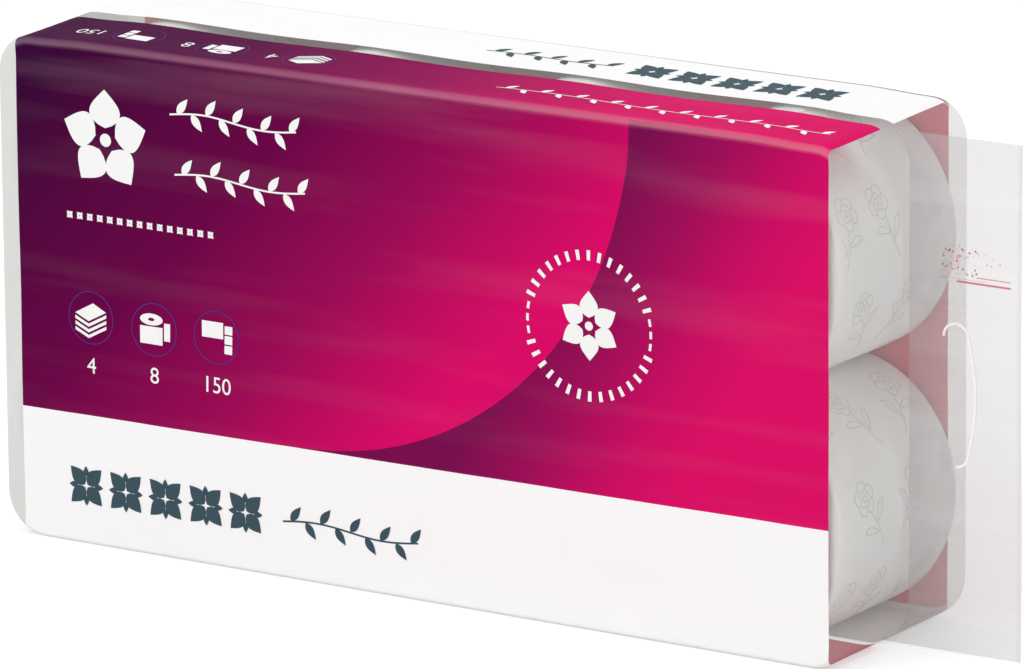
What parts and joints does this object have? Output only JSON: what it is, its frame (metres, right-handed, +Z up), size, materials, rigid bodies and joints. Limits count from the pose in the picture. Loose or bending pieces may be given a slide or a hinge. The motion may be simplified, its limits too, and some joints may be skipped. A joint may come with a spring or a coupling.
{
  "type": "toilet roll pack",
  "caption": "Toilet rolls on cardboard cores, stacked in layers in a printed film bag that stands on its long side, with a flat carrying fin and a finger slit at an end",
  "frame": {"origin": "on the floor, under the middle of the whole outline, fin and seal included", "axes": "+X runs along the pack towards the carrying fin, +Y from the front panel to the back panel, +Z up"},
  "size_m": [0.503, 0.1, 0.23],
  "materials": {
    "film": "thin soft polythene film, glossy, printed in deep purple and magenta with clear and milky areas",
    "tissue": "soft white embossed tissue paper, matt",
    "core_board": "plain light grey-brown cardboard tube, matt"
  },
  "bodies": {
    "root": {"film_wrap": "film", "roll_1": "tissue", "roll_2": "tissue", "roll_3": "tissue", "roll_4": "tissue", "roll_5": "tissue", "roll_6": "tissue", "roll_7": "tissue", "roll_8": "tissue", "core_1": "core_board", "core_2": "core_board", "core_3": "core_board", "core_4": "core_board", "core_5": "core_board", "core_6": "core_board", "core_7": "core_board", "core_8": "core_board"}
  },
  "joints": []
}
